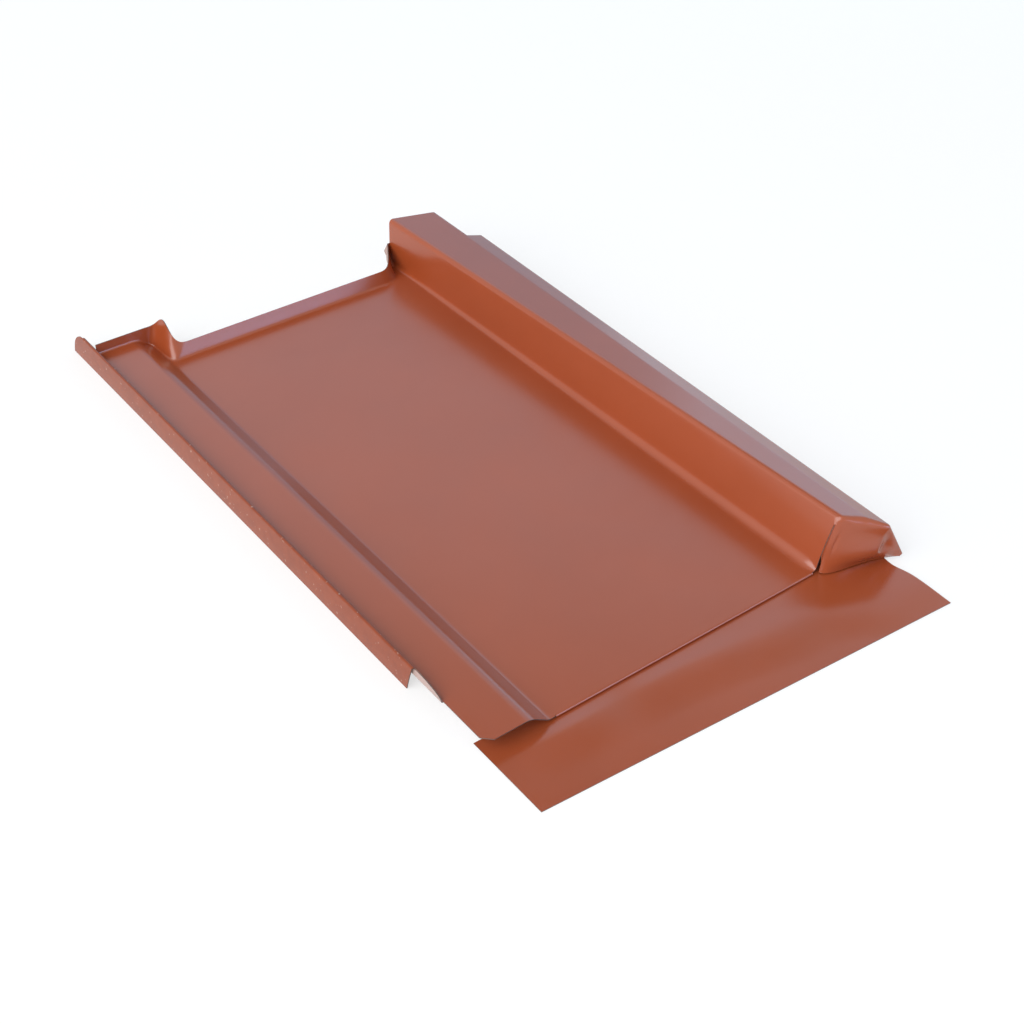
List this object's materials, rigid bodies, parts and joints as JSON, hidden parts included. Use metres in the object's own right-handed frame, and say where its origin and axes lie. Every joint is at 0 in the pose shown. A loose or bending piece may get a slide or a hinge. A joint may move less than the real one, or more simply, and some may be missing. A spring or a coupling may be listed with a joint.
{
  "type": "metal roof plate",
  "caption": "Pressed and coated sheet metal roof plate with a flat pan, a hollow side rib, a raised strip with a folded hem, back upstands and a soft flashing apron.",
  "frame": {"origin": "centre of the bounding box at floor level", "axes": "+Y up the roof slope, from the apron to the back upstands; +X across the roof, from the hemmed strip to the rib; +Z out of the roof"},
  "size_m": [0.2804, 0.5048, 0.0352],
  "materials": {
    "roof_plate": "glossy terracotta coil coating on steel sheet, greyish pink on the back",
    "apron": "terracotta coating on soft aluminium sheet"
  },
  "bodies": {
    "root": {"roof_plate": "roof_plate", "apron": "apron"}
  },
  "joints": []
}
